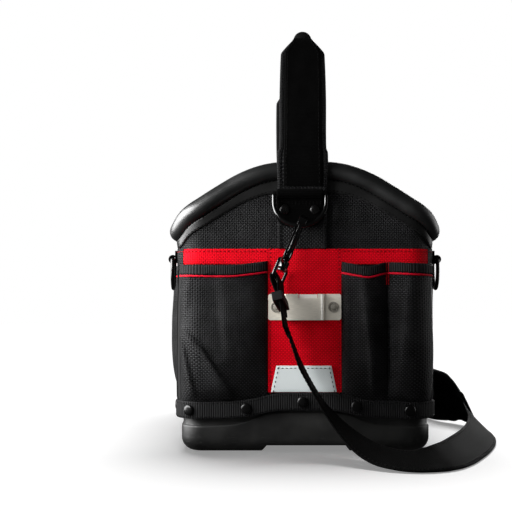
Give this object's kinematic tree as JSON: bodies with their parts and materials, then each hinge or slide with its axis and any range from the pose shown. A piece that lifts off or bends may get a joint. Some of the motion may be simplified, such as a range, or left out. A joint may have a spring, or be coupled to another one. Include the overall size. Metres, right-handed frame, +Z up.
{
  "type": "open top tool tote",
  "caption": "Open top tool tote in black and red fabric with a moulded base, padded rim, fixed carrying handle and a clip-on shoulder strap.",
  "frame": {"origin": "middle of the flat underside of the base, on the floor", "axes": "+Z up, +Y from the end seen in the picture along the length to the far end, +X to the right in the picture"},
  "size_m": [0.3695, 0.5326, 0.4581],
  "materials": {
    "moulded_base": "moulded, fine grain, lightly scuffed",
    "ballistic_nylon": "coarse basket weave",
    "red_nylon": "fine weave",
    "rim_vinyl": "smooth vinyl, half gloss",
    "webbing": "ribbed webbing",
    "black_hardware": "black, half gloss",
    "steel_clip": "brushed",
    "reflective_fabric": "light grey, smooth",
    "grip_rubber": "matt",
    "pad_fabric": "coarse weave"
  },
  "bodies": {
    "tote": {"base_tray": "moulded_base", "body_shell": "ballistic_nylon", "rim_tube": "rim_vinyl", "rim_binding": "rim_vinyl", "bottom_trim": "webbing", "rivet_near_1": "black_hardware", "rivet_near_2": "black_hardware", "rivet_near_3": "black_hardware", "rivet_near_4": "black_hardware", "rivet_near_5": "black_hardware", "rivet_far_1": "black_hardware", "rivet_far_2": "black_hardware", "rivet_far_3": "black_hardware", "rivet_far_4": "black_hardware", "rivet_far_5": "black_hardware", "centre_panel": "red_nylon", "centre_panel_far": "red_nylon", "red_band_right": "red_nylon", "red_band_left": "red_nylon", "reflective_patch": "reflective_fabric", "pocket_near_right": "ballistic_nylon", "pocket_near_right_binding": "webbing", "pocket_near_left": "ballistic_nylon", "pocket_near_left_binding": "webbing", "pocket_far_right": "ballistic_nylon", "pocket_far_left": "ballistic_nylon", "pocket_side_right": "ballistic_nylon", "pocket_side_left": "ballistic_nylon", "tape_clip": "steel_clip", "clip_rivet_left": "steel_clip", "clip_rivet_right": "steel_clip", "handle_backing_near": "webbing", "handle_webbing_near": "webbing", "handle_backing_far": "webbing", "handle_webbing_far": "webbing", "handle_grip": "grip_rubber", "ring_tab_near": "webbing", "d_ring_near": "black_hardware", "tab_rivet_near_left": "black_hardware", "tab_rivet_near_right": "black_hardware", "ring_tab_far": "webbing", "d_ring_far": "black_hardware", "tab_rivet_far_left": "black_hardware", "tab_rivet_far_right": "black_hardware", "side_loop_left": "webbing", "side_ring_left": "black_hardware", "side_loop_right": "webbing", "side_ring_right": "black_hardware", "shoulder_strap": "webbing", "shoulder_pad": "pad_fabric", "strap_slider": "black_hardware", "hook_body_near": "black_hardware", "hook_bail_near": "black_hardware", "hook_body_far": "black_hardware", "hook_bail_far": "black_hardware"},
    "gate_near": {"hook_gate_near": "black_hardware"},
    "gate_far": {"hook_gate_far": "black_hardware"}
  },
  "joints": [
    {"name": "gate_near_hinge", "type": "hinge", "parent": "tote", "child": "gate_near", "pos_m": [-0.0197, -0.22355, 0.2039], "axis": [-0.9176, 0, 0.3976], "range_deg": [0, 20], "stiffness_Nm_per_rad": 0.02, "springref_deg": -5.73},
    {"name": "gate_far_hinge", "type": "hinge", "parent": "tote", "child": "gate_far", "pos_m": [0.04749, 0.21922, 0.21487], "axis": [0.7537, 0, 0.6572], "range_deg": [0, 20], "stiffness_Nm_per_rad": 0.02, "springref_deg": -5.73}
  ]
}
